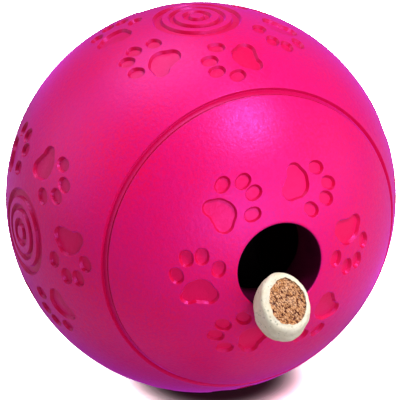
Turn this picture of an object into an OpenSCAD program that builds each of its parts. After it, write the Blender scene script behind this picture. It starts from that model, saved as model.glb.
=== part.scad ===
// Treat dispensing ball: a hollow rubber ball in two moulded parts, with a labyrinth cup
// clamped between them. One treat is tipping out over the lip of the hole, and two more lie
// loose inside. +Z is up, the hole faces -Y, and the origin is where the ball touches the floor.

/* [Ball] */
// Diameter of the ball
ball_d = 110; // [95:1:125]
// Thickness of the rubber wall
wall = 7; // [5.5:0.5:9]
// Depth of the paw prints and of the ring targets' grooves
pocket_depth = 1.1; // [0.6:0.1:2]

/* [Dispensing hole] */
// Diameter of the hole
hole_d = 24.8; // [22:0.2:28]
// Radius of the rounded lip
lip_r = 0.6; // [0.4:0.1:1.2]
// Length of the tunnel behind the hole, from the outside of the ball
neck_l = 17; // [12:0.5:19]
// Thickness of the tunnel's wall
neck_wall = 4; // [3:0.5:6]

/* [Joint between cap and shell] */
// Width of the ring groove over the joint
groove_w = 2.8; // [2.2:0.1:4]
// Width of the ring groove's floor
groove_floor_w = 1.7; // [1:0.1:2]
// Depth of the ring groove
groove_h = 1; // [0.6:0.1:1.6]
// Width of the tongue under the cap
tongue_w = 1.6; // [1.2:0.1:2.2]
// Height of the tongue under the cap
tongue_h = 1.5; // [1:0.1:2.5]
// Gap left around the tongue and around the cup's flange
fit_gap = 0.1; // [0.05:0.05:0.3]

/* [Labyrinth cup] */
// Thickness of the cup's wall
cup_wall = 4; // [3:0.5:5.5]
// Depth of the cup behind the joint
cup_l = 28.5; // [26:0.5:31]
// Thickness of the cup's flange
flange_t = 3; // [2:0.5:4]
// How far the flange reaches into the shell's rebate
flange_reach = 4.5; // [3.5:0.1:5]
// Gap between the cup and the shell's inner wall, beside the flange
cup_gap = 1; // [0.5:0.1:2]
// Diameter of each window in the cup
window_d = 22; // [19:0.5:23]

/* [Paw prints] */
// Radius of a toe's two circles
toe_r = 2; // [1.6:0.1:2.3]
// Distance between the centres of a toe's two circles
toe_stretch = 1; // [0.6:0.1:1.4]
// Radius of the broad front of the pad
pad_front_r = 3.8; // [3.4:0.1:4]
// Radius of the pad's lobe next to the pole
pad_inner_r = 2.75; // [2.4:0.05:3]
// Radius of the pad's lobe away from the pole
pad_outer_r = 2.4; // [2.1:0.05:2.7]

/* [Ring targets] */
// Diameter of the outermost ring groove
target_d = 24.8; // [20:0.2:28]

/* [Treats] */
// Width of a treat
treat_w = 15.2; // [14.6:0.2:16.4]
// Height of a treat
treat_h = 18.8; // [18:0.2:20]
// Length of a treat
treat_l = 16; // [13:0.5:17]
// How far a treat's flank swells out beyond its end faces
flank_swell = 0.9; // [0.5:0.1:1.4]
// Thickness of the casing at its end faces
casing_wall = 1.7; // [1.4:0.1:2.4]
// How far the filling lies to one side of the casing's middle
filling_aside = 0.7; // [0:0.1:0.8]
// How far the filling lies below the end faces
filling_sink = 0.4; // [0.2:0.1:1]
// Gap between a treat and what it lies on
rest_gap = 0.3; // [0.2:0.05:0.5]

/* [Hidden] */
$fn = 96;

rubber = "deeppink";
dark_rubber = "#2b0d16";
biscuit = "wheat";
meat = "peru";

// How far a cut runs past the surface that it opens
over = 1;

// Angles from the hole's axis, seen from the ball's centre
joint_angle = 51.1;
paw_angle = 25;

// Each pole but the hole's: how the pole's own frame is turned, and where its first paw starts
shell_poles = [
    [[90, 0, -90], 0], [[90, 0, 90], 0], [[90, 0, 180], 0], [[0, 0, 0], 30], [[180, 0, 0], 30]
];
hole_turn = [90, 0, 0];
paws = 6;

// Toes of a paw in degrees ahead of the paw's centre and away from the pole, and their turn
toe_spots = [[0.2, 5.8, 18], [5.5, 2.9, 10], [6, -1.6, 0], [2, -6.3, -12]];
// The pad's centre, in the same degrees
pad_spot = [-5.2, -0.5];
// Centres of the pad's circles in shares of the front circle: ahead, and away from the pole
front_shares = [0.12, -0.13];
inner_shares = [-0.25, -0.72];
outer_shares = [-0.33, 0.75];
middle_shares = [0.1, 0.34];
middle_r_share = 0.8;

// Grooves of a ring target, from and to, as shares of the target's radius
ring_shares = [[0.16, 0.33], [0.5, 0.65], [0.79, 1]];

ball_r = ball_d / 2;
inner_r = ball_r - wall;
hole_r = hole_d / 2;

// The joint's plane, where the steep wall of the groove meets its floor
step_r = ball_r - groove_h;
joint_z = step_r * cos(joint_angle);
joint_r = step_r * sin(joint_angle);
joint_inner_r = sqrt(pow(inner_r, 2) - pow(joint_z, 2));
groove_floor_angle = joint_angle + groove_floor_w / ball_r * 180 / PI;
groove_angle = joint_angle + groove_w / ball_r * 180 / PI;
flange_r = joint_inner_r + flange_reach;
tongue_r = (flange_r + joint_r) / 2;

// The cup is part of a sphere through its mouth and its deepest point
cup_mouth_r = joint_inner_r - cup_gap;
cup_outer_r = (pow(cup_mouth_r, 2) + pow(cup_l, 2)) / (2 * cup_l);
cup_inner_r = cup_outer_r - cup_wall;
cup_z = joint_z - cup_l + cup_outer_r;
window_angle = 50;
windows = 3;
first_window = 90;

// Centre of the circle that rounds the lip
lip_z = sqrt(pow(ball_r - lip_r, 2) - pow(hole_r + lip_r, 2));

// A treat's flank is an arc, and a ball trims the edge of its ends
end_w = treat_w - 2 * flank_swell;
flank_r = (pow(treat_l / 2, 2) + pow(flank_swell, 2)) / (2 * flank_swell);
trim_share = 0.97;
trim_r = sqrt(pow(treat_l / 2, 2) + pow(end_w / 2, 2)) * trim_share;
treat_ratio = treat_h / treat_w;
filling_w = end_w - 2 * casing_wall;
filling_h = end_w * treat_ratio - 2 * casing_wall;
// The casing has a ring of points at each of these shares of its half length
level_shares = [-1, -0.92, -0.8, -0.5, -0.2, 0.2, 0.5, 0.8, 0.92, 1];
oval_sides = 36;

// The treat on the lip: its axis rises from the hole, is turned aside and rolled
treat_rise = 34.6;
treat_aside = 15.2;
treat_roll = 9;
// How far its axis passes from the bottom of the lip, in shares of its width and height
aside_share = -0.093;
below_share = -0.115;

// Half the length of a treat, at a distance from its axis given as if its section were round
function treat_half(rho) = min(
    treat_l / 2,
    sqrt(max(pow(trim_r, 2) - pow(rho, 2), 0)),
    sqrt(max(pow(flank_r, 2) - pow(rho - treat_w / 2 + flank_r, 2), 0))
);

// Unit vectors of the treat on the lip, for its width, its height and its length
function turned(v, a) = [v[0] * cos(a) - v[1] * sin(a), v[0] * sin(a) + v[1] * cos(a), v[2]];
function lifted(v, a) = [v[0], v[1] * cos(a) - v[2] * sin(a), v[1] * sin(a) + v[2] * cos(a)];
function treat_vector(v) = turned(lifted(turned(v, treat_roll), 90 - treat_rise), -treat_aside);
treat_x = treat_vector([1, 0, 0]);
treat_y = treat_vector([0, 1, 0]);
treat_z = treat_vector([0, 0, 1]);

// Points over the rounded lip and the ball below it, in the ball's frame
lip_points = [
    for (a = [-75:5:75]) for (b = [0:15:90])
        let (r = hole_r + lip_r - lip_r * cos(b), z = lip_z + lip_r * sin(b))
            [r * sin(a), -z, -r * cos(a)]
];
lip_angle = asin(hole_r / ball_r);
ball_points = [
    for (a = [-75:5:75]) for (b = [1:2:15])
        let (r = ball_r * sin(lip_angle + b), z = ball_r * cos(lip_angle + b))
            [r * sin(a), -z, -r * cos(a)]
];

// The treat slides back along its own axis until it is a rest gap from the first such point
lip_bottom = [0, -lip_z, -hole_r];
axis_start = lip_bottom + aside_share * treat_w * treat_x + below_share * treat_h * treat_y;
function rho_at(p) = norm([(p - axis_start) * treat_x, (p - axis_start) * treat_y / treat_ratio]);
treat_seat = max([
    for (p = concat(lip_points, ball_points))
        if (rho_at(p) < treat_w / 2) (p - axis_start) * treat_z + treat_half(rho_at(p))
]) + rest_gap;
treat_at = axis_start + treat_seat * treat_z;

// Half the width of a treat, at a distance along its axis
function flank_rho(z) = min(
    sqrt(pow(flank_r, 2) - pow(z, 2)) - flank_r + treat_w / 2,
    sqrt(pow(trim_r, 2) - pow(z, 2))
);

// A loose treat lies on its broad side: how far its centre is from the ball's centre
loose_reach = min([
    for (t = [-1:0.05:1]) for (a = [0:5:90])
        let (rho = flank_rho(t * treat_l / 2))
            sqrt(pow(inner_r - rest_gap, 2) - pow(t * treat_l / 2, 2)
                - pow(rho * treat_ratio * sin(a), 2)) - rho * cos(a)
]);
// The two loose treats lie side by side, a rest gap from the plane between them
loose_angle = atan((treat_h / 2 + rest_gap) / sqrt(pow(loose_reach, 2) - pow(treat_w / 2, 2)));

echo(treat_at = treat_at, treat_z = treat_z, loose_reach = loose_reach, loose_angle = loose_angle);

module at_centre() {
    translate([0, 0, ball_r]) children();
}

// Half the section of the solid ball, from its axis outwards
module half_disc(r) {
    intersection() {
        circle(r);
        translate([0, -r]) square([r, 2 * r]);
    }
}

// Half the section of everything in front of the joint, out to the groove's steep wall
module cap_side() {
    far = ball_r + over;
    polygon([
        [0, joint_z], [joint_r, joint_z], [far * sin(joint_angle), far * cos(joint_angle)],
        [far * sin(joint_angle), far], [0, far]
    ]);
}

// The groove beside the cap, cut from the shell's edge
module groove_side() {
    polygon([
        [joint_r, joint_z],
        [step_r * sin(groove_floor_angle), step_r * cos(groove_floor_angle)],
        [ball_r * sin(groove_angle), ball_r * cos(groove_angle)],
        [(ball_r + over) * sin(groove_angle), (ball_r + over) * cos(groove_angle)],
        [(ball_r + over) * sin(joint_angle), (ball_r + over) * cos(joint_angle)]
    ]);
}

module tongue_section(gap) {
    translate([tongue_r - tongue_w / 2 - gap, joint_z - tongue_h - gap])
        square([tongue_w + 2 * gap, tongue_h + gap]);
}

module pad_circle(shares, r) {
    translate(pad_front_r * [shares[1], -shares[0]]) circle(r);
}

// A pocket with a flat floor, sunk into the ball where the frame's Z axis leaves it
module pocket(ahead, away) {
    rotate([ahead, away, 0]) translate([0, 0, ball_r - pocket_depth])
        linear_extrude(pocket_depth + over) children();
}

// One paw print, walking clockwise round the pole as seen from outside
module paw_print() {
    rotate([0, paw_angle, 0]) {
        pocket(pad_spot[0], pad_spot[1]) {
            pad_circle(front_shares, pad_front_r);
            pad_circle(inner_shares, pad_inner_r);
            pad_circle(outer_shares, pad_outer_r);
            pad_circle(middle_shares, pad_front_r * middle_r_share);
        }
        for (spot = toe_spots) pocket(spot[0], spot[1]) rotate(spot[2]) {
            translate([0, toe_stretch / 2]) circle(toe_r);
            translate([0, -toe_stretch / 2]) circle(toe_r);
        }
    }
}

module paw_prints(first) {
    for (k = [0:paws - 1]) rotate(first + k * 360 / paws) paw_print();
}

// Three ring grooves round a pole, with floors that follow the ball
module ring_target() {
    rotate_extrude() difference() {
        for (share = ring_shares) translate([share[0] * target_d / 2, 0])
            square([(share[1] - share[0]) * target_d / 2, ball_r + over]);
        circle(ball_r - pocket_depth);
    }
}

module rear_shell() {
    color(rubber) at_centre() difference() {
        rotate(hole_turn) rotate_extrude() difference() {
            half_disc(ball_r);
            circle(inner_r);
            cap_side();
            groove_side();
            translate([0, joint_z - flange_t]) square([flange_r + fit_gap, flange_t]);
            tongue_section(fit_gap);
        }
        for (pole = shell_poles) rotate(pole[0]) {
            ring_target();
            paw_prints(pole[1]);
        }
    }
}

module front_cap() {
    color(rubber) at_centre() rotate(hole_turn) difference() {
        rotate_extrude() {
            difference() {
                intersection() {
                    half_disc(ball_r);
                    cap_side();
                }
                circle(inner_r);
                square([hole_r, ball_r + over]);
                lip_corner();
            }
            translate([hole_r, ball_r - neck_l]) square([neck_wall, neck_l - wall]);
            tongue_section(0);
        }
        paw_prints(0);
    }
}

// What the rounding takes off the lip
module lip_corner() {
    difference() {
        polygon([
            [0, lip_z], [hole_r + lip_r, lip_z],
            (ball_r + over) / (ball_r - lip_r) * [hole_r + lip_r, lip_z], [0, ball_r + over]
        ]);
        translate([hole_r + lip_r, lip_z]) circle(lip_r);
    }
}

module labyrinth_cup() {
    color(dark_rubber) at_centre() rotate(hole_turn) difference() {
        rotate_extrude() difference() {
            union() {
                intersection() {
                    translate([0, cup_z]) circle(cup_outer_r);
                    translate([0, joint_z - cup_l]) square([cup_outer_r, cup_l]);
                }
                translate([0, joint_z - flange_t]) square([flange_r, flange_t]);
            }
            translate([0, cup_z]) circle(cup_inner_r);
        }
        for (k = [0:windows - 1]) translate([0, 0, cup_z])
            rotate([0, 0, first_window + k * 360 / windows]) rotate([0, 180 - window_angle, 0])
                cylinder(d = window_d, h = cup_outer_r + over);
    }
}

// Ellipse as a list of points
function oval(w, h) = [
    for (k = [0:oval_sides - 1]) let (a = k * 360 / oval_sides) [w / 2 * cos(a), h / 2 * sin(a)]
];

// The outside of a treat: rings of points, joined by four-sided faces and closed at both ends
module treat_body() {
    last = len(level_shares) - 1;
    sides = [0:oval_sides - 1];
    polyhedron(
        points = [
            for (t = level_shares) let (w = 2 * flank_rho(t * treat_l / 2))
                for (p = oval(w, w * treat_ratio)) [p[0], p[1], t * treat_l / 2]
        ],
        faces = concat(
            [[for (k = sides) k]],
            [for (j = [0:last - 1]) for (k = sides)
                let (a = j * oval_sides + k, b = j * oval_sides + (k + 1) % oval_sides)
                    [a, a + oval_sides, b + oval_sides, b]],
            [[for (k = sides) (last + 1) * oval_sides - 1 - k]]
        )
    );
}

module casing() {
    difference() {
        treat_body();
        translate([filling_aside, 0, 0]) linear_extrude(treat_l + over, center = true)
            polygon(oval(filling_w, filling_h));
    }
}

module filling() {
    translate([filling_aside, 0, 0]) linear_extrude(treat_l - 2 * filling_sink, center = true)
        polygon(oval(filling_w - 2 * fit_gap, filling_h - 2 * fit_gap));
}

module on_the_lip() {
    at_centre() translate(treat_at) rotate([90 - treat_rise, 0, -treat_aside]) rotate(treat_roll)
        children();
}

// Lies on its broad side on the inner wall, with its length along Y
module loose_inside(side) {
    at_centre() rotate([0, side * loose_angle, 0]) translate([0, 0, -loose_reach])
        rotate([90, 90, 0]) children();
}

module treat_casing() {
    color(biscuit) on_the_lip() casing();
}

module treat_filling() {
    color(meat) on_the_lip() filling();
}

module left_treat_casing() {
    color(biscuit) loose_inside(1) casing();
}

module left_treat_filling() {
    color(meat) loose_inside(1) filling();
}

module right_treat_casing() {
    color(biscuit) loose_inside(-1) casing();
}

module right_treat_filling() {
    color(meat) loose_inside(-1) filling();
}

rear_shell();
front_cap();
labyrinth_cup();
treat_casing();
treat_filling();
left_treat_casing();
left_treat_filling();
right_treat_casing();
right_treat_filling();
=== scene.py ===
# %% [markdown]
# # A treat dispensing ball, dressed for its picture
# The ball is a hollow one of hot pink natural rubber, moulded in two parts. A treat is tipping out
# of its hole, and two more lie inside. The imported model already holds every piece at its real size,
# so it comes in as a fixed frame, and this lesson only builds finer meshes in the same places.

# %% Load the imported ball
import math

import bmesh
import bpy
import numpy as np
from mathutils import Euler, Matrix, Vector, kdtree, noise
from mathutils.geometry import delaunay_2d_cdt


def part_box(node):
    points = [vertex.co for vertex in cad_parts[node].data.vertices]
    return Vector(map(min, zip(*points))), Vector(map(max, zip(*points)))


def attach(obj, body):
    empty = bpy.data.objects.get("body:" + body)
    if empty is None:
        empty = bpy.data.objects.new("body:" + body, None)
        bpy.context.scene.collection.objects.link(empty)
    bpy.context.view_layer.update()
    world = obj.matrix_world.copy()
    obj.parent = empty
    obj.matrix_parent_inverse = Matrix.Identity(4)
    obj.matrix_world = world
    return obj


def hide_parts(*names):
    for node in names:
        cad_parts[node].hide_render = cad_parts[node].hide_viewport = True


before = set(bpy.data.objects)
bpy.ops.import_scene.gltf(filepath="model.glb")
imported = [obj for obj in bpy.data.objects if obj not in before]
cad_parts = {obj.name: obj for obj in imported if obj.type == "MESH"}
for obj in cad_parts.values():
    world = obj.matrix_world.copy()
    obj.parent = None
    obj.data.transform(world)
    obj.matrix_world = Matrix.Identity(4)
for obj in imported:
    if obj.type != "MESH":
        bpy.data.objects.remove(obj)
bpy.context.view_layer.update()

shell_low, shell_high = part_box("rear_shell")
MM = 0.001
ball_r = (shell_high.x - shell_low.x) / 2 / MM
ball_centre = Vector((0, 0, ball_r * MM))
print(f"{len(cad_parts)} nodes, a ball {2 * ball_r:.1f} mm across")

# %% [markdown]
# ## Where the camera stands
# The photograph looks down on the ball from the front and a little from the left. Thirty ball radii
# away, the outline of the ball is almost as round as with no perspective at all. How large the ball
# is in the picture gives the lens. A small shift of the lens puts it where the picture has it.

# %% Camera
IMAGE_SIZE = 400
BALL_PX = (200.9, 197.0)
BALL_RADIUS_PX = 195.4
view_azimuth, view_elevation, view_roll = -23.29, 23.25, -1.34
RADII_AWAY = 30
camera_distance = RADII_AWAY * ball_r * MM

camera_data = bpy.data.cameras.new("Camera")
camera = bpy.data.objects.new("Camera", camera_data)
bpy.context.scene.collection.objects.link(camera)
bpy.context.scene.camera = camera
camera.rotation_euler = (
    Euler((math.radians(90 - view_elevation), 0, math.radians(view_azimuth))).to_matrix()
    @ Matrix.Rotation(math.radians(view_roll), 3, "Z")
).to_euler()
camera_back = camera.rotation_euler.to_matrix() @ Vector((0, 0, 1))
camera.location = ball_centre + camera_distance * camera_back

outline_slope = math.tan(math.asin(ball_r * MM / camera_distance))
lens_px = BALL_RADIUS_PX / outline_slope
camera_data.lens = camera_data.sensor_width * lens_px / IMAGE_SIZE
camera_data.shift_x = (IMAGE_SIZE / 2 - BALL_PX[0]) / IMAGE_SIZE
camera_data.shift_y = (BALL_PX[1] - IMAGE_SIZE / 2) / IMAGE_SIZE
camera_data.clip_end = 20
print(f"lens {camera_data.lens:.0f} mm, {camera_distance:.2f} m from the ball's centre")

# %% [markdown]
# ## Outlines of the recesses
# Paw prints and ring targets are sunk into the rubber, six paws round each of the six poles. They
# could be drawn as curves by hand, but a formula keeps all the toes alike. A toe is an oval. A pad
# is four circles that run into each other, so its outline is found by walking out from the middle
# until a soft minimum of the distances to the circles is zero. A soft minimum rounds the notches
# between the lobes, which a plain union would leave sharp.

# %% Sizes of a paw in millimetres, and even points
paw_angle = 25
toe_half = (1.98, 2.5)
toe_spots = [(0.2, 5.8, 18), (5.5, 2.9, 10), (6, -1.6, 0), (2, -6.3, -12)]
pad_spot = (-5.2, -0.5)
pad_circles = [(0.45, -0.5, 3.8), (-0.95, -2.75, 2.75), (-1.25, 2.85, 2.4), (0.4, 1.3, 3.04)]
pad_softness = 0.22
OUTLINE_STEP = 0.125


def full_turn(count):
    """Even angles once round, in radians."""
    return np.linspace(0, 2 * np.pi, count, endpoint=False)


def evenly(points, step):
    """A closed outline again, with points an even step apart."""
    closed = np.vstack([points, points[:1]])
    length = np.concatenate([[0], np.cumsum(np.hypot(*np.diff(closed, axis=0).T))])
    count = 4 * round(length[-1] / step / 4)
    at = np.linspace(0, length[-1], count, endpoint=False)
    return np.column_stack([np.interp(at, length, closed[:, k]) for k in (0, 1)])


print(f"{len(toe_spots)} toes to a pad, {len(pad_circles)} circles in it")

# %% Outlines of a toe, a pad and a ring
FINE = 720
TOE_SQUARENESS = 0.9
PAD_REACH, HALVINGS = 8.0, 40


def toe_outline():
    turn = full_turn(FINE)
    x = toe_half[0] * np.sign(np.cos(turn)) * np.abs(np.cos(turn)) ** TOE_SQUARENESS
    y = toe_half[1] * np.sign(np.sin(turn)) * np.abs(np.sin(turn)) ** TOE_SQUARENESS
    return evenly(np.column_stack([x, y]), OUTLINE_STEP)


def pad_distance(x, y):
    """Soft distance to the pad's circles, negative inside. Ahead is -Y, +X leads off the pole."""
    each = [np.hypot(x - away, y + ahead) - r for ahead, away, r in pad_circles]
    return -pad_softness * np.log(sum(np.exp(-d / pad_softness) for d in each))


def pad_outline():
    turn = full_turn(2 * FINE)
    near, far = np.zeros_like(turn), np.full_like(turn, PAD_REACH)
    for _ in range(HALVINGS):
        middle = (near + far) / 2
        inside = pad_distance(middle * np.cos(turn), middle * np.sin(turn)) < 0
        near, far = np.where(inside, middle, near), np.where(inside, far, middle)
    return evenly(np.column_stack([near * np.cos(turn), near * np.sin(turn)]), OUTLINE_STEP)


def circle_outline(r):
    turn = full_turn(FINE)
    return evenly(r * np.column_stack([np.cos(turn), np.sin(turn)]), OUTLINE_STEP)


print(f"toe {len(toe_outline())} points, pad {len(pad_outline())} points")

# %% [markdown]
# ## From a flat outline to the ball
# Each outline is drawn in a plane that touches the ball at the recess, and then pushed straight on
# to the sphere. Turning the plane about the ball's centre puts it at its pole, so one toe serves
# for all of them. With every point goes the direction that leads out of the recess.

# %% Place the outlines
POLES = {
    "hole": ((90, 0, 0), 0), "left": ((90, 0, -90), 0), "right": ((90, 0, 90), 0),
    "back": ((90, 0, 180), 0), "top": ((0, 0, 0), 30), "bottom": ((180, 0, 0), 30),
}
PAWS = 6
target_r = 12.4
target_shares = [(0.16, 0.33), (0.5, 0.65), (0.79, 1)]


def turned(x, y, z):
    """Rotation about X, then Y, then Z, in degrees."""
    return np.array(Euler([math.radians(a) for a in (x, y, z)]).to_matrix())


def on_ball(turn, outline):
    height = np.sqrt(ball_r ** 2 - (outline ** 2).sum(1))
    spots = np.column_stack([outline, height]) @ turn.T / ball_r
    along = np.roll(spots, -1, 0) - np.roll(spots, 1, 0)
    out = np.cross(along, spots)
    return spots, out / np.linalg.norm(out, axis=1)[:, None]


def paw_outlines(pole):
    toe, pad = toe_outline(), pad_outline()
    pole_turn, first = POLES[pole]
    found = []
    for k in range(PAWS):
        paw = turned(*pole_turn) @ turned(0, 0, first + k * 360 / PAWS) @ turned(0, paw_angle, 0)
        found.append(on_ball(paw @ turned(pad_spot[0], pad_spot[1], 0), pad))
        for ahead, away, turn in toe_spots:
            found.append(on_ball(paw @ turned(ahead, away, 0) @ turned(0, 0, turn), toe))
    return found


def target_outlines(pole):
    turn = turned(*POLES[pole][0])
    found = []
    for inner, outer in target_shares:
        found.append(on_ball(turn, circle_outline(inner * target_r)[::-1]))
        found.append(on_ball(turn, circle_outline(outer * target_r)))
    return found


cap_outlines = paw_outlines("hole")
shell_outlines = []
for pole in POLES:
    if pole != "hole":
        shell_outlines += paw_outlines(pole) + target_outlines(pole)
print(f"{len(cap_outlines)} outlines on the cap, {len(shell_outlines)} on the shell")

# %% [markdown]
# ## The wall of a recess
# A moulded recess has a rounded upper edge, a wall that leans back so that the rubber leaves the
# mould, and a rounded foot. Its section is two arcs joined by a straight line. A bevel on a cut
# mesh could make it too, but it breaks up on a sphere this finely cut. So the section is a list of
# offsets and depths, which says where the mesh needs rings of points and how deep each point lies.
# The whole wall is drawn a little inwards, because its upper edge is what the eye takes for the
# outline.

# %% Section of a recess wall
pocket_depth, wall_inwards = 0.95, 0.18
WALL_STEPS = 4


def wall_section(depth, edge_r, foot_r, draft):
    """Offsets from the middle of a wall, positive towards the land, and depths, floor first."""
    swing = np.radians(np.linspace(0, 90 - draft, WALL_STEPS))
    edge = np.column_stack([-edge_r * np.sin(swing), edge_r * (1 - np.cos(swing))])
    foot = np.column_stack([foot_r * np.sin(swing), depth - foot_r * (1 - np.cos(swing))])
    run = (foot[-1, 1] - edge[-1, 1]) * math.tan(math.radians(draft))
    edge[:, 0] += run / 2 - edge[-1, 0]
    foot[:, 0] -= run / 2 + foot[-1, 0]
    return np.vstack([foot, edge[::-1]])


pocket_wall = wall_section(pocket_depth, edge_r=0.1, foot_r=0.08, draft=27)
pocket_wall = pocket_wall - [wall_inwards, 0]
print("a wall is %.2f mm wide" % np.ptp(pocket_wall[:, 0]))

# %% [markdown]
# ## The groove over the joint
# Cap and shell meet under one ring groove. Its floor and its outer wall belong to the shell, and
# its inner wall is the edge of the cap. The floor slopes down towards the outer wall, and beside
# the cap a shallow slot runs along the bond. The groove is the same all round, so its walls are
# sections like those of the recesses, and they are turned about the hole's axis with the hidden
# sides. A ring of even faces shades cleaner than any triangulation of such a narrow band.

# %% Groove beside the joint
joint_angle = 51.1
groove_h, slot_floor = 1.0, 0.6
groove_near, groove_far = 0.42, 0.98
cap_edge_at, slot_edge_at, groove_edge_at = 0.3, 0.72, 2.5
cap_wall = wall_section(slot_floor, edge_r=0.22, foot_r=0.02, draft=6)
slot_wall = wall_section(slot_floor - groove_near, edge_r=0.08, foot_r=0.02, draft=20)
outer_wall = wall_section(groove_far, edge_r=0.14, foot_r=0.1, draft=8)


def beside_joint(section, away, down=0.0, side=1):
    """A wall as distances from the hole's axis and along it. Side is -1 on the hole's side."""
    angle = math.radians(joint_angle) + (away + side * section[:, 0]) / ball_r
    radius = ball_r - down - section[:, 1]
    return list(zip(radius * np.sin(angle), radius * np.cos(angle)))


print("the groove ends %.2f mm from the joint" % (groove_edge_at + outer_wall[-1, 0]))

# %% [markdown]
# ## One skin from rings of points
# The outside of each moulding has to be fine at the walls and may be coarse between them. So points
# along every ring of every wall, and a sunflower pattern of points in between, are laid out flat by
# a stereographic map. That map turns circles into circles, so a Delaunay triangulation made in the
# plane is also a good one on the ball. A dense sphere pushed in by a texture would need many times
# as many faces for walls as crisp as these.

# %% The ball as a flat chart
ROUND = 300
hole_axis = np.array([0.0, -1.0, 0.0])
CHARTS = {
    "shell": np.array([[0.0, 0, 1], [1, 0, 0], [0, 1, 0]]),
    "cap": np.array([[1.0, 0, 0], [0, 0, 1], [0, -1, 0]]),
}


def flat(points, chart):
    seen = points @ chart.T
    return seen[:, :2] / (1 + seen[:, 2:])


def unflat(spots, chart):
    square = (spots ** 2).sum(1)[:, None]
    return np.hstack([2 * spots, 1 - square]) / (1 + square) @ chart


def circle_round(angle, count=ROUND):
    """Unit vectors on a circle about the hole's axis, at an angle from it in degrees."""
    turn = full_turn(count)
    s, c = math.sin(math.radians(angle)), math.cos(math.radians(angle))
    return np.column_stack([s * np.cos(turn), np.full(count, -c), s * np.sin(turn)])


def from_joint(points):
    """Distance along the ball from the joint, positive on the shell's side, in millimetres."""
    angle = np.degrees(np.arccos(np.clip(points @ hole_axis, -1, 1)))
    return np.radians(angle - joint_angle) * ball_r


print(f"charts for {', '.join(CHARTS)}, {ROUND} points round each border")

# %% [markdown]
# ## How far is it to the nearest outline?
# A point's distance from the nearest outline, positive outside and negative inside, decides how
# deep it is sunk. With thousands of points on the outlines, a search through all of them would take
# minutes. A k-d tree, which Blender has in mathutils, finds the nearest one at once.

# %% Distance from the outlines
FAR_OFF = 2


class Outlines:
    """Finds how far any point on the ball is from the nearest outline."""

    def __init__(self, outlines):
        self.spots = np.vstack([s for s, _ in outlines])
        self.outward = np.vstack([o for _, o in outlines])
        self.tree = kdtree.KDTree(len(self.spots))
        for k, spot in enumerate(self.spots):
            self.tree.insert(spot, k)
        self.tree.balance()

    def offset(self, points):
        nearest = np.array([self.tree.find(p)[1] for p in points])
        step = points - self.spots[nearest]
        side = np.einsum("ij,ij->i", step, self.outward[nearest])
        return np.clip(side * ball_r, -FAR_OFF, FAR_OFF)


print(f"{sum(len(spots) for spots, _ in cap_outlines)} points on the outlines of the cap")

# %% [markdown]
# ## Points, triangles and depths
# Each outline gives a ring of points for every step of the wall, and one more ring just outside, so
# that the land stays flat right up to the edge. Where two recesses lie close, points that come
# nearer to the other outline are left out. Every ring is handed over as a chain of fixed edges, so
# the triangulation keeps the walls' edges unbroken.

# %% Skin of a moulding
LAND_STEP = 1.35
RING_STEP = 4
GUARD = 0.15
CROWDED = 0.04


def sunflower():
    """Evenly scattered unit vectors, about LAND_STEP apart."""
    count = int(4 * math.pi * (ball_r / LAND_STEP) ** 2)
    k = np.arange(count) + 0.5
    turn = np.pi * (1 + 5 ** 0.5) * k
    z = 1 - 2 * k / count
    r = np.sqrt(1 - z ** 2)
    return np.column_stack([r * np.cos(turn), r * np.sin(turn), z])


def wall_rings(field, outlines, offsets):
    """Rings of points at each offset from each outline, and the edges along them."""
    points, edges, count = [], [], 0
    for spots, outward in outlines:
        for offset in offsets:
            ring = spots[::RING_STEP] + outward[::RING_STEP] * offset / ball_r
            ring /= np.linalg.norm(ring, axis=1)[:, None]
            crowded = field.offset(ring) < offset - CROWDED
            number = np.cumsum(~crowded) - 1 + count
            for k in range(len(ring)):
                if not crowded[k] and not crowded[k - 1]:
                    edges.append((number[k - 1], number[k]))
            points.append(ring[~crowded])
            count += len(points[-1])
    return points, edges, count


def skin(outlines, chart, borders, keep):
    """Unit vectors, depths and triangles of a moulding's outside."""
    field = Outlines(outlines)
    offsets = np.append(pocket_wall[:, 0], pocket_wall[-1, 0] + GUARD)[::-1]
    points, edges, count = wall_rings(field, outlines, offsets)
    for ring in borders:
        edges += [(count + k, count + (k + 1) % len(ring)) for k in range(len(ring))]
        points.append(ring)
        count += len(ring)
    land = sunflower()
    land = land[keep(land)]
    away = field.offset(land)
    clear = (away > offsets[0] + LAND_STEP / 3) | (away < offsets[-1] - LAND_STEP / 4)
    points.append(land[clear])
    spots = flat(np.vstack(points), chart)
    made = delaunay_2d_cdt([Vector(p) for p in spots], edges, [], 0, 1e-7)
    found = unflat(np.array([v[:] for v in made[0]]), chart)
    depth = np.interp(field.offset(found), pocket_wall[:, 0], pocket_wall[:, 1])
    return found, depth, made[2]


print(f"{len(sunflower())} scattered points before any is left out")

# %% [markdown]
# ## The hidden sides
# Behind the skin each moulding is a body of revolution: the tunnel behind the hole, the inner wall,
# and the tongue and rebate of the joint. One profile, turned about the hole's axis, makes them. It
# starts and ends on the skin's own border points, which are welded to it. The cap's tongue sits in
# the shell's groove, and the shell's rebate holds the flange of the labyrinth cup.

# %% Sizes behind the skin
wall, hole_r, lip_r = 7, 12.4, 0.6
neck_l, neck_wall = 17, 4
tongue_w, tongue_h, fit_gap = 1.6, 1.5, 0.1
flange_t, flange_reach = 3, 4.5
inner_r = ball_r - wall
step_r = ball_r - groove_h
joint_z = step_r * math.cos(math.radians(joint_angle))
joint_r = step_r * math.sin(math.radians(joint_angle))
joint_inner_r = math.sqrt(inner_r ** 2 - joint_z ** 2)
flange_r = joint_inner_r + flange_reach
tongue_r = (flange_r + joint_r) / 2
lip_z = math.sqrt((ball_r - lip_r) ** 2 - (hole_r + lip_r) ** 2)
lip_angle = math.degrees(math.atan2(hole_r + lip_r, lip_z))
print(f"the joint lies {joint_r:.1f} mm from the axis, the lip of the hole {hole_r + lip_r:.1f} mm")

# %% Profiles of cap and shell
mouth_r = 0.8


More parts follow.
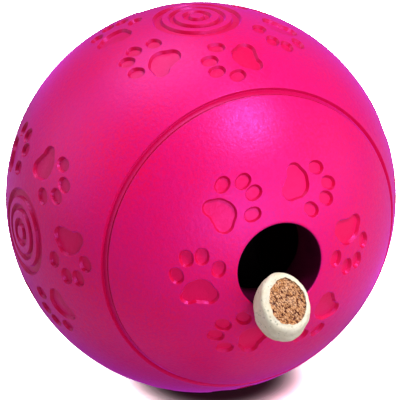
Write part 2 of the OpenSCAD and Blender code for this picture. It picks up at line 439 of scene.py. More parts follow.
def arc(r, z, radius, start, end, steps):
    """Points (distance from the axis, distance along it) of an arc, angles in degrees."""
    turn = np.radians(np.linspace(start, end, steps))
    return [(r + radius * math.cos(a), z + radius * math.sin(a)) for a in turn]


def tongue(gap):
    low = joint_z - tongue_h - gap
    near, far = tongue_r - tongue_w / 2 - gap, tongue_r + tongue_w / 2 + gap
    return [(near, joint_z), (near, low), (far, low), (far, joint_z)]


def cap_profile():
    inner_end = ball_r - neck_l
    neck_outer = hole_r + neck_wall
    root_angle = math.degrees(math.acos((neck_outer + mouth_r) / inner_r))
    joint_inner_angle = math.degrees(math.acos(joint_inner_r / inner_r))
    tunnel = arc(hole_r + lip_r, lip_z, lip_r, 90 - lip_angle, 180, 9)[1:]
    tunnel += [(hole_r, z) for z in np.linspace(lip_z, inner_end + mouth_r, 10)[1:-1]]
    tunnel += arc(hole_r + mouth_r, inner_end + mouth_r, mouth_r, 180, 270, 5)
    tunnel += arc(neck_outer - mouth_r, inner_end + mouth_r, mouth_r, 270, 360, 5)
    tunnel += arc(0, 0, inner_r, root_angle, joint_inner_angle, 18)
    return tunnel + tongue(0) + [(joint_r, joint_z)]


def shell_profile():
    seat_z = joint_z - flange_t
    seat_angle = math.degrees(math.asin(seat_z / inner_r))
    slot_end = math.sqrt((ball_r - slot_floor) ** 2 - joint_z ** 2)
    inside = [(slot_end, joint_z)] + tongue(fit_gap)[::-1]
    inside += [(flange_r + fit_gap, joint_z), (flange_r + fit_gap, seat_z)]
    return inside + arc(0, 0, inner_r, seat_angle, -88, 24)


print(f"cap profile {len(cap_profile())} points, shell profile {len(shell_profile())} points")

# %% [markdown]
# ## Build a moulding
# Skin and turned profile become one closed mesh. Most of a wall is slivers beside large faces, so
# the normals are weighted by area: the land and the floors then shade flat right up to the wall, as
# on a crisp moulding. Bevelled or averaged normals would smear each wall's shade over the land.

# %% Helpers for meshes
WELD = 0.002
FLAT_WEIGHT = 60
SHARP_FROM = 50


def to_object(name, points, faces):
    """An object in metres from points in millimetres about the ball's centre."""
    mesh = bpy.data.meshes.new(name)
    mesh.from_pydata((np.asarray(points) * MM + np.array(ball_centre)).tolist(), [], faces)
    mesh.validate()
    piece = bpy.data.objects.new(name, mesh)
    bpy.context.scene.collection.objects.link(piece)
    return piece


def add_mask(piece, name, values):
    mask = piece.data.attributes.new(name, "FLOAT", "POINT")
    mask.data.foreach_set("value", np.asarray(values, dtype=np.float32))


def close_up(piece):
    """Welds the borders, fills what is open, and prints how many edges still aren't closed."""
    edit = bmesh.new()
    edit.from_mesh(piece.data)
    bmesh.ops.remove_doubles(edit, verts=edit.verts, dist=WELD * MM)
    bmesh.ops.holes_fill(edit, edges=[e for e in edit.edges if e.is_boundary], sides=0)
    bmesh.ops.recalc_face_normals(edit, faces=edit.faces)
    bmesh.ops.triangulate(edit, faces=[f for f in edit.faces if len(f.verts) > 4])
    open_edges = sum(e.is_boundary or not e.is_manifold for e in edit.edges)
    edit.to_mesh(piece.data)
    edit.free()
    triangles = sum(len(f.vertices) - 2 for f in piece.data.polygons)
    print(f"{piece.name}: {triangles} triangles, {open_edges} open edges")
    piece.data.shade_smooth()


def keep_sharp(piece, angle):
    piece.data.set_sharp_from_angle(angle=math.radians(angle))


print("mesh helpers ready")

# %% [markdown]
# ## Masks for the painted shade on the rubber
# The rubber's colour is painted darker by the shape, as shade, so three masks go on the points of a
# moulding. "sunk" is how deep a point lies in a recess. "wall" marks the walls of the recesses, and
# with a weaker tone the ring groove. "dark" is how far a point lies past the floor of the groove or
# the edge of the hole, where hardly any light comes. Faces that are altogether dark get the second
# material slot, which is rubber painted in shade.

# %% Masks of a profile's rows
# Where the painted shade starts past the hole's edge and how far it runs, in mm, and the share of the
# walls' painted shade that the groove gets.
DARK_FROM, DARK_RUN, GROOVE_TONE = 0.12, 0.16, 0.72
HAIR = 0.01
SLOT_RIM = 0.1


def row_masks(profile):
    """The masks of painted shade of each row of a profile: the wall mask and the dark mask."""
    radius, along = np.array(profile).T
    away = abs(np.arctan2(radius, along) - math.radians(joint_angle)) * ball_r
    depth = ball_r - np.hypot(radius, along)
    in_groove = (away < 2 * groove_edge_at) & (depth > HAIR)
    in_slot = in_groove & (away < slot_edge_at + SLOT_RIM) & (depth > groove_near + HAIR)
    dark = (depth - np.where(in_groove, groove_h, DARK_FROM)) / DARK_RUN
    return GROOVE_TONE * in_groove + (1 - GROOVE_TONE) * in_slot, np.clip(dark, 0, 1)


print(f"the groove has {GROOVE_TONE:.0%} of a wall's tone")

# %% Cap and shell as meshes
def between_rows(low, high, count):
    """Four-sided faces between two closed rows, which start at points low and high."""
    after = [(j + 1) % count for j in range(count)]
    return [(low + j, low + after[j], high + after[j], high + j) for j in range(count)]


def moulding(name, outlines, chart, borders, keep, profile, hole_angle=None):
    units, depth, faces = skin(outlines, CHARTS[chart], borders, keep)
    if hole_angle is not None:
        angle = np.degrees(np.arccos(np.clip(units @ hole_axis, -1, 1)))
        faces = [f for f in faces if max(angle[k] for k in f) > hole_angle + HAIR]
    slots = [0] * len(faces)
    x, z = np.cos(full_turn(ROUND)), np.sin(full_turn(ROUND))
    rows = [np.column_stack([r * x, np.full(ROUND, -along), r * z]) for r, along in profile]
    toned, dark = row_masks(profile)
    for k in range(len(rows) - 1):
        start = len(units) + k * ROUND
        faces += between_rows(start, start + ROUND, ROUND)
        slots += [int(min(dark[k], dark[k + 1]) >= 1)] * ROUND
    piece = to_object(name, np.vstack([units * (ball_r - depth)[:, None]] + rows), faces)
    add_mask(piece, "dark", np.concatenate([np.zeros(len(units)), np.repeat(dark, ROUND)]))
    sunk = depth / pocket_depth
    on_wall = (sunk > HAIR) & (sunk < 1 - HAIR)
    add_mask(piece, "wall", np.concatenate([on_wall, np.repeat(toned, ROUND)]))
    add_mask(piece, "sunk", np.concatenate([sunk, np.zeros(len(rows) * ROUND)]))
    piece.data.polygons.foreach_set("material_index", slots)
    close_up(piece)
    keep_sharp(piece, SHARP_FROM)
    weighted = piece.modifiers.new("Weighted normals", "WEIGHTED_NORMAL")
    weighted.mode, weighted.weight, weighted.keep_sharp = "FACE_AREA", FLAT_WEIGHT, True
    return piece


def joint_ring(away):
    """The circle at a distance from the joint, as unit vectors and as a row of a profile."""
    angle = joint_angle + math.degrees(away / ball_r)
    return circle_round(angle), beside_joint(np.zeros((1, 2)), away)


shell_land = groove_edge_at + outer_wall[-1, 0] + GUARD
shell_border, shell_spot = joint_ring(shell_land)
groove_rows = beside_joint(outer_wall, groove_edge_at)[::-1]
groove_rows += beside_joint(slot_wall, slot_edge_at, down=groove_near)[::-1]
rear_shell = moulding(
    "rear_shell_moulding", shell_outlines, "shell", [shell_border],
    lambda p: from_joint(p) > shell_land + LAND_STEP / 2,
    shell_spot + groove_rows + shell_profile(),
)

# %% [markdown]
# The cap has two borders, one at the joint and one at the lip of the hole. A second ring just
# outside the lip keeps the faces there even, and scattered points stay clear of both.

# %% The cap
RING_BESIDE_LIP, CLEAR_OF_LIP = 0.4, 1.3
lip_turn = math.radians(lip_angle)
lip_spot = [(ball_r * math.sin(lip_turn), ball_r * math.cos(lip_turn))]
cap_land = cap_edge_at - cap_wall[-1, 0] - GUARD
cap_border, cap_spot = joint_ring(cap_land)
cap_borders = [cap_border, circle_round(lip_angle + RING_BESIDE_LIP), circle_round(lip_angle)]
cap_rows = lip_spot + cap_profile() + beside_joint(cap_wall, cap_edge_at, side=-1) + cap_spot


def on_cap(points):
    from_hole = np.degrees(np.arccos(np.clip(points @ hole_axis, -1, 1)))
    beside = from_joint(points) < cap_land - LAND_STEP / 2
    return beside & (from_hole > lip_angle + CLEAR_OF_LIP)


front_cap = moulding(
    "front_cap_moulding", cap_outlines, "cap", cap_borders, on_cap, cap_rows, hole_angle=lip_angle
)
for piece, node in ((rear_shell, "rear_shell"), (front_cap, "front_cap")):
    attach(piece, "ball")
    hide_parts(node)

# %% [markdown]
# ## The shape of a treat
# A treat is a baked roll about 16 mm long: a pale biscuit casing round a crumbly meat filling that
# sits a little to one side. The casing could be a scaled cylinder, but a real one is drawn in at
# its ends, soft at its rims and never quite regular. So it is a grid: columns go round it, and
# stations go up the flank, over the rim, across the end face and down the wall of the hole. The
# filling's outline is an oval with waves of three lengths in it.

# %% Sizes and outlines of a treat
treat_w, treat_h, treat_l = 15.2, 18.8, 16.0
flank_swell, casing_wall = 0.9, 1.7
filling_aside, filling_sink = 0.7, 0.4
end_w = treat_w - 2 * flank_swell
treat_ratio = treat_h / treat_w
filling_w = end_w - 2 * casing_wall
filling_h = end_w * treat_ratio - 2 * casing_wall
flank_r = ((treat_l / 2) ** 2 + flank_swell ** 2) / (2 * flank_swell)
rim_w, rim_h, casing_lip = 1.1, 2.0, 0.15
COLUMNS = 256
NARROWED = 0.07
WAVES = [(0.018, 5, 1), (0.014, 11, 0), (0.01, 23, 2)]
NOISE_STRIDE, OCTAVES = Vector((31.7, 11.3, 5.9)), 2


def flank(z):
    """Half the width of the casing at a height, with rounded rims."""
    rho = math.sqrt(flank_r ** 2 - z ** 2) - flank_r + treat_w / 2
    into_rim = max(abs(z) - (treat_l / 2 - rim_h), 0) / rim_h
    return rho - rim_w + rim_w * math.sqrt(max(1 - into_rim ** 2, 0))


def hole_outline(turn, gap=0.0):
    """The filling's wavy outline: an oval, narrower at its top, drawn in by a gap."""
    narrow = 1 - NARROWED * np.sin(turn)
    wavy = sum((high * np.sin(count * turn + start) for high, count, start in WAVES), 1)
    x = filling_aside + (filling_w / 2 - gap) * np.cos(turn) * narrow * wavy
    return np.column_stack([x, (filling_h / 2 - gap) * np.sin(turn) * wavy])


def roughness(points, size, seed):
    """Fractal noise between about -1 and 1 at points in millimetres."""
    start = NOISE_STRIDE * seed
    return np.array([noise.fractal(Vector(p) / size + start, 1.0, 2.0, OCTAVES) for p in points])


print(f"a filling is {filling_w:.1f} by {filling_h:.1f} mm")

# %% Casing
FLANK_STEPS, RIM_STEPS, FACE_STEPS, HOLE_STEPS = 14, 10, 22, 10


def casing_stations():
    """Height and share of the way from the flank to the hole, once round the section."""
    half, low = treat_l / 2, treat_l / 2 - rim_h
    rim = [low + rim_h * math.sin(a) for a in np.radians(np.linspace(0, 90, RIM_STEPS))]
    up = [(z, 0.0) for z in np.linspace(0, low, FLANK_STEPS)[:-1]] + [(z, 0.0) for z in rim]
    across = [(half, s) for s in np.linspace(0, 1, FACE_STEPS)[1:]]
    down = [(z, 1.0) for z in np.linspace(half - casing_lip, 0, HOLE_STEPS)]
    front = up + across + down
    back = [(-z, s) for z, s in front[::-1]]
    return front[:-1] + back[:-1]


print(f"{len(casing_stations())} stations of {COLUMNS} columns")

# %% [markdown]
# ## Wear on the casing
# Dough doesn't bake evenly. Broad dents, small waves and pits are three scales of the same fractal
# noise. They are cut into the surface, so that they show in the outline too, which a bump map could
# not do. Noise only ever takes material off, so the roll stays inside its real size.

# %% Casing with dents, waves and pits
DENT_SIZE, DENT_DEPTH = 7, 0.42
WAVE_SIZE, WAVE_DEPTH = 2.2, 0.16
PIT_SIZE, PIT_DEPTH, PIT_FROM, PIT_MOST = 0.75, 0.3, 0.42, 0.5
PIT_FULL = 0.15


def taken_off(points, share, seed):
    """How much the dents, waves and pits take off at each point, and the pits alone."""
    dents = DENT_DEPTH * np.clip(0.5 + roughness(points, DENT_SIZE, seed), 0, 1)
    waves = WAVE_DEPTH * np.clip(0.5 + roughness(points, WAVE_SIZE, seed + 1), 0, 1)
    pits = PIT_DEPTH * np.clip(roughness(points, PIT_SIZE, seed + 2) - PIT_FROM, 0, PIT_MOST)
    return np.where(share < 1, dents * (1 - share) + waves + pits, 0), pits


def casing_mesh(name, seed, centre, turn):
    around = full_turn(COLUMNS)
    inner = hole_outline(around)
    oval = np.column_stack([np.cos(around), treat_ratio * np.sin(around)])
    stations = casing_stations()
    n = len(stations)
    points = np.vstack([
        np.column_stack([flank(z) * oval * (1 - s) + inner * s, np.full(COLUMNS, z)])
        for z, s in stations
    ])
    share = np.repeat([s for _, s in stations], COLUMNS)
    outward = np.tile(oval / np.linalg.norm(oval, axis=1)[:, None], (n, 1))
    outward = np.hstack([outward, np.zeros((len(points), 1))])
    z = points[:, 2]
    up = np.sign(z) * np.clip((np.abs(z) - (treat_l / 2 - rim_h)) / rim_h, 0, 1)
    outward = (1 - share)[:, None] * (1 - np.abs(up))[:, None] * outward
    outward = outward + up[:, None] * np.array([0, 0, 1.0])
    taken, pits = taken_off(points, share, seed)
    points -= outward * taken[:, None]
    faces = []
    for k in range(n):
        faces += between_rows(k * COLUMNS, (k + 1) % n * COLUMNS, COLUMNS)
    piece = to_object(name, points @ turn.T + centre, faces)
    add_mask(piece, "pit", pits / PIT_FULL)
    close_up(piece)
    return piece


print(f"up to {DENT_DEPTH + WAVE_DEPTH + PIT_DEPTH * PIT_MOST:.2f} mm is taken off a casing")

# %% [markdown]
# ## The filling
# The filling is meat meal pressed into crumbs. Voronoi cells make crumbs: a crumb is high in its
# middle and drops into a crevice where the next one begins, and every crumb has a height of its
# own. The cells are stretched along one direction, as the meal is when it is pressed through a
# nozzle, and bent a little by noise. Far from the middle of any cell there is a hollow. Blender's
# vector noise starts at random in every run unless it is seeded, so a seed comes first.

# %% Heights of the crumbs
NOISE_SEED = 1
noise.seed_set(NOISE_SEED)
CRUMB = 0.52
PRESSED_TURN, PRESSED_SCALE = 0.4, np.array([1.0, 0.5])
SEED_STEP = 7.7
BEND, BEND_SCALE = 0.35, 1.7
CREVICE, CREVICE_POWER = 0.32, 0.7
CREVICE_LOW, CREVICE_RISE = 0.22, 0.78
HOLLOW_FROM, HOLLOW_RUN = 0.6, 0.25
OWN_LOW, OWN_RISE, OWN_SCALE = 0.55, 0.45, 3.1
FINE_HEIGHT, FINE_SCALE = 0.14, 3.3


def crumb_heights(spots, seed):
    """Height from 0 in a crevice to 1 on top of a crumb."""
    c, s = math.cos(PRESSED_TURN), math.sin(PRESSED_TURN)
    pressed = spots @ np.array([[c, s], [-s, c]]).T * PRESSED_SCALE / CRUMB
    heights = []
    for x, y in pressed:
        spot = Vector((x, y, seed * SEED_STEP))
        spot += BEND * noise.noise_vector(spot * BEND_SCALE)
        near, places = noise.voronoi(spot)
        gap = min((near[1] - near[0]) / CREVICE, 1)
        crevice = CREVICE_LOW + CREVICE_RISE * gap ** CREVICE_POWER
        hollow = min(max((near[0] - HOLLOW_FROM) / HOLLOW_RUN, 0), 1)
        own = 0.5 + 0.5 * noise.noise(places[0] * OWN_SCALE)
        heights.append((OWN_LOW + OWN_RISE * own) * crevice * (1 - hollow))
    fine = np.array([noise.noise(Vector((x, y, seed)) * FINE_SCALE) for x, y in pressed])
    return np.clip(np.array(heights) + FINE_HEIGHT * fine, 0, 1)


print(f"crumbs {CRUMB} mm wide and {CRUMB / PRESSED_SCALE[1]:.1f} mm long")

# %% [markdown]
# ## A net over each end face
# Each end of the filling is a fine net of triangles inside the wavy outline. The height of every
# point moves it, so that the crumbs are real shape, and is also kept as a mask for the colour, which
# paints shade into the crevices. The face as a whole swells a little in its middle.

# %% Filling
FACE_STEP, ROW_SHARE = 0.135, 0.87
NET_X, NET_Y = (-6, 6.6), (-8, 8)
BORDER_POINTS, BORDER_GAP, NET_GAP = 200, 0.03, 0.3
RELIEF, SWELL = 0.68, 0.35
CRUMB_SHARP_FROM = 75


def face_net(seed):
    """Spots, triangles and heights of one end face, with its border spots first."""
    border = hole_outline(full_turn(BORDER_POINTS), gap=BORDER_GAP)
    x, y = np.meshgrid(np.arange(*NET_X, FACE_STEP), np.arange(*NET_Y, FACE_STEP * ROW_SHARE))
    x = x + FACE_STEP / 2 * (np.arange(len(y)) % 2)[:, None]
    grid = np.column_stack([x.ravel(), y.ravel()])
    scaled = (grid - [filling_aside, 0]) / [filling_w / 2 - NET_GAP, filling_h / 2 - NET_GAP]
    narrow = 1 - NARROWED * scaled[:, 1]
    grid = grid[np.hypot(scaled[:, 0] / narrow, scaled[:, 1]) < 1]
    edges = [(k, (k + 1) % len(border)) for k in range(len(border))]
    made = delaunay_2d_cdt([Vector(p) for p in np.vstack([border, grid])], edges, [], 1, 1e-6)
    spots = np.array([v[:] for v in made[0]])
    return spots, made[2], crumb_heights(spots, seed), len(border)


def filling_mesh(name, seed, centre, turn):
    top = treat_l / 2 - filling_sink
    points, faces, masks = [], [], []
    for side in (1, -1):
        spots, net, heights, count = face_net(seed + side * 0.5)
        aside = (spots[:, 0] - filling_aside) / (filling_w / 2)
        reach = np.hypot(aside, spots[:, 1] / (filling_h / 2))
        z = top - RELIEF * (1 - heights) + SWELL * (1 - reach ** 2)
        z[:count] = top - RELIEF / 3
        start = sum(len(p) for p in points)
        points.append(np.column_stack([spots, side * z]))
        faces += [tuple(start + k for k in f) for f in net]
        masks.append(heights)
    faces += between_rows(0, len(points[0]), count)
    piece = to_object(name, np.vstack(points) @ turn.T + centre, faces)
    add_mask(piece, "crumb", np.concatenate(masks))
    close_up(piece)
    keep_sharp(piece, CRUMB_SHARP_FROM)
    return piece


print(f"a net of {FACE_STEP} mm, {RELIEF} mm from crevice to crumb")

# %% [markdown]
# ## Three treats
# One treat lies on the lip of the hole and two lie loose inside. The frame says where the middle of
# each casing is. The treat on the lip rises as it comes out, and is turned a little aside and about
# its own axis. The loose ones lie on their broad sides, square to the wall under them.

# %% Place the treats
treat_rise, treat_aside, treat_spin = 34.6, 15.2, 9


def middle_of(node):
    low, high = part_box(node)
    return np.array((low + high) / 2 - ball_centre) / MM


def loose_turn(node):
    x, _, z = middle_of(node)
    return turned(0, math.degrees(math.atan2(-x, -z)), 0) @ turned(90, 90, 0)


treat_turns = {
    "treat": turned(90 - treat_rise, 0, -treat_aside) @ turned(0, 0, treat_spin),
    "left_treat": loose_turn("left_treat_casing"),
    "right_treat": loose_turn("right_treat_casing"),
}
casings, fillings = [], []
parts = ((casings, "casing", casing_mesh), (fillings, "filling", filling_mesh))
for seed, (body, turn) in enumerate(treat_turns.items(), start=3):
    centre = middle_of(body + "_casing")
    for made, kind, build in parts:
        piece = build(f"{body}_{kind}_baked", seed, centre, turn)
        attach(piece, body)
        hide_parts(f"{body}_{kind}")
        made.append(piece)

# %% [markdown]
# ## Shader groups
# Rubber and biscuit both have fine grain and soft blotches of colour, at different scales. Biscuit
# and filling both have specks. Each effect is made once as a group with its own sockets, and every
# material sets its own values.

# %% Node helpers
def add(tree, kind, **values):
    """A node with its properties and, by name with _ for a blank, its input values."""
    node = tree.nodes.new(kind)
    for key, value in values.items():
        if hasattr(node, key):
            setattr(node, key, value)
        else:
            node.inputs[key.replace("_", " ")].default_value = value
    return node


def new_group(name, inputs, outputs):
    group = bpy.data.node_groups.new(name, "ShaderNodeTree")
    for title, value in inputs.items():
        made = group.interface.new_socket(title, in_out="INPUT", socket_type="NodeSocketFloat")
        made.default_value = value
    for title, kind in outputs.items():
        group.interface.new_socket(title, in_out="OUTPUT", socket_type=kind)
    given, out = group.nodes.new("NodeGroupInput"), group.nodes.new("NodeGroupOutput")
    return group, given.outputs, out.inputs


def placed(tree, group, **values):
    return add(tree, "ShaderNodeGroup", node_tree=group, **values)


print("node helpers ready")

# %% Grain, blotches and specks
def make_grain():
    """Fine bumps. Height is in metres."""
    group, given, out = new_group(
        "Moulded grain", {"Per Metre": 1500.0, "Height": 0.00002, "Strength": 0.5},
        {"Normal": "NodeSocketVector", "Speck": "NodeSocketFloat"},
    )
    place = add(group, "ShaderNodeTexCoord")
    fine = add(group, "ShaderNodeTexNoise", Detail=4.0, Roughness=0.68)
    bump = add(group, "ShaderNodeBump")
    link = group.links.new
    link(place.outputs["Object"], fine.inputs["Vector"])
    link(given["Per Metre"], fine.inputs["Scale"])
    link(fine.outputs["Fac"], bump.inputs["Height"])
    link(given["Height"], bump.inputs["Distance"])
    link(given["Strength"], bump.inputs["Strength"])
    link(bump.outputs["Normal"], out["Normal"])
    link(fine.outputs["Fac"], out["Speck"])
    return group


def make_blotches():
    """Soft patches between 0 and 1."""
    group, given, out = new_group(
        "Soft blotches", {"Per Metre": 60.0, "Low": 0.35, "High": 0.65}, {"Mask": "NodeSocketFloat"}
    )
    place = add(group, "ShaderNodeTexCoord")
    broad = add(group, "ShaderNodeTexNoise", Detail=4.0, Roughness=0.55)
    spread = add(group, "ShaderNodeMapRange")
    link = group.links.new
    link(place.outputs["Object"], broad.inputs["Vector"])
    link(given["Per Metre"], broad.inputs["Scale"])
    link(broad.outputs["Fac"], spread.inputs["Value"])
    link(given["Low"], spread.inputs["From Min"])
    link(given["High"], spread.inputs["From Max"])
    link(spread.outputs["Result"], out["Mask"])
    return group


def make_specks():
    """Small round specks: 1 in the middle of one. Share is how many cells have one."""
    group, given, out = new_group(
        "Specks", {"Per Metre": 900.0, "Size": 0.2, "Share": 0.3}, {"Mask": "NodeSocketFloat"}
    )
    place = add(group, "ShaderNodeTexCoord")
    cells = add(group, "ShaderNodeTexVoronoi")
    dot = add(group, "ShaderNodeMapRange", To_Min=1.0, To_Max=0.0)
    chosen = add(group, "ShaderNodeMath", operation="LESS_THAN")
    both = add(group, "ShaderNodeMath", operation="MULTIPLY")
    split = add(group, "ShaderNodeSeparateColor")
    link = group.links.new
    link(place.outputs["Object"], cells.inputs["Vector"])
    link(given["Per Metre"], cells.inputs["Scale"])
    link(cells.outputs["Distance"], dot.inputs["Value"])
    link(given["Size"], dot.inputs["From Max"])
    link(cells.outputs["Color"], split.inputs["Color"])
    link(split.outputs["Red"], chosen.inputs[0])
    link(given["Share"], chosen.inputs[1])
    link(dot.outputs["Result"], both.inputs[0])
    link(chosen.outputs[0], both.inputs[1])
    link(both.outputs[0], out["Mask"])
    return group


grain, blotches, specks = make_grain(), make_blotches(), make_specks()
print("groups:", grain.name, blotches.name, specks.name)

# %% [markdown]
# ## Pink rubber
# Natural rubber of this kind is satin. It has a very saturated pink, a violet bloom that shows
# where the surface is seen at a slant, and a soft highlight with a grainy edge. The bloom is the
# sheen of the shader and the tint of its gloss, and the grain is a bump. The floors of the recesses
# are painted a deeper pink than the land and their walls crimson, and the ring groove a weaker tone
# of the same. This is painted shade, and it follows the masks. Hardly any light reaches the tunnel
# and the inside, so there the colour is painted to fall off to a dark crimson, as painted shade,
# within a third of a millimetre past the edge of the hole.

# %% Materials and their parts
def material(name):
    made = bpy.data.materials.new(name)
    made.use_nodes = True
    tree = made.node_tree
    return made, tree, tree.nodes["Principled BSDF"]


MIX_MASK, MIX_COLOURS, MIX_RESULT = 0, (6, 7), 2


def mixed(tree, mask, low, high):
    """A colour between two, by a mask. Sockets 6, 7 and 2 of a Mix node are its colours."""
    node = tree.nodes.new("ShaderNodeMix")
    node.data_type = "RGBA"
    tree.links.new(mask, node.inputs[MIX_MASK])
    for place, colour in zip(MIX_COLOURS, (low, high)):
        if isinstance(colour, tuple):
            node.inputs[place].default_value = (*colour, 1)
        else:
            tree.links.new(colour, node.inputs[place])
    return node.outputs[MIX_RESULT]


def grained(tree, shader, per_metre, height, strength, smoothest, roughest):
    """Gives a shader a grain in its normal and its roughness."""
    made = placed(tree, grain, Per_Metre=per_metre, Height=height, Strength=strength)
    rough = add(tree, "ShaderNodeMapRange", To_Min=smoothest, To_Max=roughest)
    tree.links.new(made.outputs["Speck"], rough.inputs["Value"])
    tree.links.new(rough.outputs["Result"], shader.inputs["Roughness"])
    tree.links.new(made.outputs["Normal"], shader.inputs["Normal"])


def mask_of(tree, name):
    return add(tree, "ShaderNodeAttribute", attribute_name=name).outputs["Fac"]


print("materials have masks, mixes and grain")

# %% Rubber
# The dark crimson of painted shade, where hardly any light comes.
SHADED = (0.1, 0.001, 0.03)
PINKS = (0.87, 0.0008, 0.072), (0.78, 0.002, 0.14), (0.7, 0.004, 0.15)


def pink_rubber(name, plain, bloomed, mottled, sunk, wall):
    made, tree, shader = material(name)
    patches = placed(tree, blotches, Per_Metre=55.0, Low=0.3, High=0.7)
    mottle = placed(tree, blotches, Per_Metre=1300.0, Low=0.4, High=0.7)
    colour = mixed(tree, patches.outputs["Mask"], plain, bloomed)
    colour = mixed(tree, mottle.outputs["Mask"], colour, mottled)
    # The masks paint shade: recess floors a deeper pink, walls and groove crimson, tunnel and inside
    # dark crimson.
    colour = mixed(tree, mask_of(tree, "sunk"), colour, sunk)
    colour = mixed(tree, mask_of(tree, "wall"), colour, wall)
    colour = mixed(tree, mask_of(tree, "dark"), colour, SHADED)
    tree.links.new(colour, shader.inputs["Base Color"])
    grained(
        tree, shader, per_metre=900.0, height=0.00014, strength=0.8, smoothest=0.2, roughest=0.58
    )
    shader.inputs["Specular IOR Level"].default_value = 1.0
    shader.inputs["Specular Tint"].default_value = (0.7, 0.13, 1, 1)
    shader.inputs["Sheen Weight"].default_value = 0.9
    shader.inputs["Sheen Roughness"].default_value = 0.36
    shader.inputs["Sheen Tint"].default_value = (0.84, 0.045, 1, 1)
    return made


def dark_rubber(name, low, high):
    """Matt rubber of a deep colour: painted shade for the inside of the mouldings, and the cup's
    rubber.
    """
    made, tree, shader = material(name)
    patches = placed(tree, blotches, Per_Metre=80.0)
    tree.links.new(mixed(tree, patches.outputs["Mask"], low, high), shader.inputs["Base Color"])
    grained(
        tree, shader, per_metre=1400.0, height=0.00005, strength=0.6, smoothest=0.75, roughest=0.9
    )
    shader.inputs["Specular IOR Level"].default_value = 0.04
    return made


# The sunk and wall colours are painted shade for the floors and walls of the recesses.
shell_rubber = pink_rubber(
    "Pink rubber of the shell", *PINKS, sunk=(0.74, 0.001, 0.058), wall=(0.6, 0.0006, 0.034)
)
cap_rubber = pink_rubber(
    "Pink rubber of the cap", *PINKS, sunk=(0.81, 0.001, 0.065), wall=(0.68, 0.0005, 0.034)
)
# The second slot of each moulding is pink rubber painted in shade, for the tunnel and the inside.
painted_shade_rubber = dark_rubber("Shaded pink rubber", SHADED, (0.07, 0.0008, 0.024))
cup_rubber = dark_rubber("Dark cup rubber", (0.003, 0.0015, 0.002), (0.005, 0.0025, 0.0035))
coats = ((rear_shell, shell_rubber, "shell_rubber"), (front_cap, cap_rubber, "cap_rubber"))
for piece, rubber, slot in coats:
    piece.data.materials.append(rubber)
    piece.data.materials.append(painted_shade_rubber)
cup_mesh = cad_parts["labyrinth_cup"].data
cup_mesh.materials.clear()
cup_mesh.materials.append(cup_rubber)
print("rubber on", rear_shell.name, front_cap.name, "and the cup")

# %% [markdown]
# ## Biscuit and filling
# Biscuit is cream with small grey specks of bran, and is painted a little darker in its pits, as
# shade. The filling takes its colour from the height of its crumbs: it is painted down to a dark red
# brown in a crevice, which is painted shade, and orange brown on top, with a few pale grains.

# %% Treat materials
def biscuit_material(name):
    made, tree, shader = material(name)
    patches = placed(tree, blotches, Per_Metre=220.0, Low=0.3, High=0.7)
    bran = placed(tree, specks, Per_Metre=850.0, Size=0.34, Share=0.38)
    colour = mixed(tree, patches.outputs["Mask"], (0.92, 0.86, 0.73), (0.8, 0.7, 0.51))
    # Painted shade: darker in the pits of the casing.
    colour = mixed(tree, mask_of(tree, "pit"), colour, (0.6, 0.52, 0.38))
    colour = mixed(tree, bran.outputs["Mask"], colour, (0.32, 0.33, 0.24))
    tree.links.new(colour, shader.inputs["Base Color"])
    grained(
        tree, shader, per_metre=2200.0, height=0.00012, strength=0.7, smoothest=0.6, roughest=0.8
    )
    shader.inputs["Specular IOR Level"].default_value = 0.3
    return made


def filling_material(name):
    made, tree, shader = material(name)
    patches = placed(tree, blotches, Per_Metre=500.0, Low=0.35, High=0.65)
    grains = placed(tree, specks, Per_Metre=1500.0, Size=0.42, Share=0.3)
    ramp = add(tree, "ShaderNodeMapRange", From_Min=0.14, From_Max=0.58)
    tree.links.new(mask_of(tree, "crumb"), ramp.inputs["Value"])
    top = mixed(tree, patches.outputs["Mask"], (0.62, 0.27, 0.1), (0.82, 0.47, 0.27))
    # Painted shade: the colour falls from the top of a crumb to near black in its crevice.
    colour = mixed(tree, ramp.outputs["Result"], (0.11, 0.016, 0.008), top)
    colour = mixed(tree, grains.outputs["Mask"], colour, (0.93, 0.66, 0.5))
    tree.links.new(colour, shader.inputs["Base Color"])
    grained(
        tree, shader, per_metre=3200.0, height=0.0001, strength=0.8, smoothest=0.55, roughest=0.8
    )
    shader.inputs["Specular IOR Level"].default_value = 0.35
    return made


biscuit, filling = biscuit_material("Baked biscuit"), filling_material("Meat filling")
for pieces, coat, slot in ((casings, biscuit, "biscuit"), (fillings, filling, "meat_filling")):
    for piece in pieces:
        piece.data.materials.append(coat)
print("treats:", [piece.name for piece in casings + fillings])

# %% [markdown]
# ## Floor
# The floor is white paper. The camera sees it far brighter than the ball does, so that it turns
# white without throwing more light on the ball. So bright a paper shows no shadow, so the contact
# shadow under the ball is painted: a dark patch in the paper's colour. Its edge fades out by a
# power, because a straight ramp looks like a hard plate.

# %% Floor
# FLOOR_CONTACT is the colour of the painted contact shadow, placed by contact_at, contact_r and
# contact_edge.
FLOOR_BOUNCE, FLOOR_SEEN, FLOOR_CONTACT = (0.36, 0.36, 0.37), (9, 9, 9), (0.08, 0.03, 0.05)
contact_at, contact_r, contact_edge = (0.0026, -0.0038, 0), 0.0125, 0.014
FADE_POWER = 3.0
FLOOR_RADIUS, FLOOR_SIDES = 6, 128


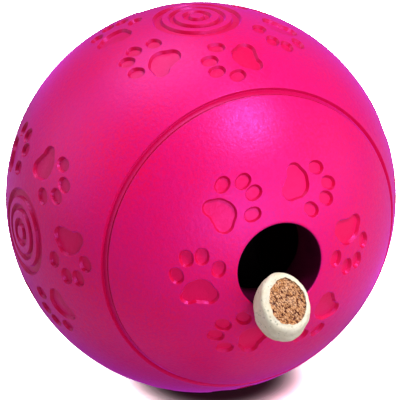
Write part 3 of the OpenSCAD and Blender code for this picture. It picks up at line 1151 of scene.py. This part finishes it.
def floor_material():
    made, tree, shader = material("Floor paper")
    seen = add(tree, "ShaderNodeLightPath")
    place = add(tree, "ShaderNodeTexCoord")
    away = add(tree, "ShaderNodeVectorMath", operation="DISTANCE")
    ramp = add(tree, "ShaderNodeMapRange", From_Min=contact_r, From_Max=contact_r + contact_edge)
    soft = add(tree, "ShaderNodeMath", operation="POWER")
    shader.inputs["Roughness"].default_value = 0.9
    shader.inputs["Specular IOR Level"].default_value = 0.0
    tree.links.new(place.outputs["Object"], away.inputs[0])
    away.inputs[1].default_value = contact_at
    tree.links.new(away.outputs["Value"], ramp.inputs["Value"])
    tree.links.new(ramp.outputs["Result"], soft.inputs[0])
    soft.inputs[1].default_value = FADE_POWER
    paper = mixed(tree, soft.outputs[0], FLOOR_CONTACT, FLOOR_SEEN)
    colour = mixed(tree, seen.outputs["Is Camera Ray"], FLOOR_BOUNCE, paper)
    tree.links.new(colour, shader.inputs["Base Color"])
    return made


bpy.ops.mesh.primitive_circle_add(
    vertices=FLOOR_SIDES, radius=FLOOR_RADIUS, fill_type="NGON", location=(0, 0, 0)
)
floor = bpy.context.object
floor.name = "Floor"
floor.data.materials.append(floor_material())
print("floor", floor.name)

# %% [markdown]
# ## Lamps
# Six round lamps stand a metre from the ball. The key is the smallest: it stands high in front on
# the right and makes the highlight. A wide one hangs overhead, two low ones in front light the
# cap and the treat, and two at the sides keep the edges of the ball from going dark. Their sizes
# are in metres and their powers in watts. A weak grey world fills in what they leave.

# %% Lamps and world
LAMPS_AWAY = 1.0
LAMPS = [
    ("Key", (0.26, -0.46, 0.85), 0.22, 6.2),
    ("Overhead", (-0.15, 0.32, 0.93), 0.8, 4.3),
    ("Front", (-0.06, -0.98, 0.14), 0.6, 3.9),
    ("Front right", (0.5, -0.86, 0.12), 0.6, 2.0),
    ("Right", (0.85, -0.45, 0.3), 0.8, 1.4),
    ("Far left", (-0.85, 0.4, 0.35), 1.0, 2.3),
]
WORLD_LIGHT, WORLD_SEEN = (0.15, 0.15, 0.15), (1.0, 1.0, 1.0)

for name, direction, size, power in LAMPS:
    lamp = bpy.data.lights.new(name, "AREA")
    lamp.shape, lamp.size, lamp.energy = "DISK", size, power
    stand = bpy.data.objects.new(name, lamp)
    bpy.context.scene.collection.objects.link(stand)
    away = Vector(direction).normalized()
    stand.location = ball_centre + LAMPS_AWAY * away
    stand.rotation_euler = away.to_track_quat("Z", "Y").to_euler()

world = bpy.data.worlds.new("Studio")
bpy.context.scene.world = world
world.use_nodes = True
sky = world.node_tree
ground = sky.nodes["Background"]
ground.inputs["Strength"].default_value = 1.0
seen = add(sky, "ShaderNodeLightPath")
sky_colour = mixed(sky, seen.outputs["Is Camera Ray"], WORLD_LIGHT, WORLD_SEEN)
sky.links.new(sky_colour, ground.inputs["Color"])
bpy.context.scene.view_settings.view_transform = "Standard"
print(f"{len(LAMPS)} lamps, {sum(power for *_, power in LAMPS):.1f} W in all")
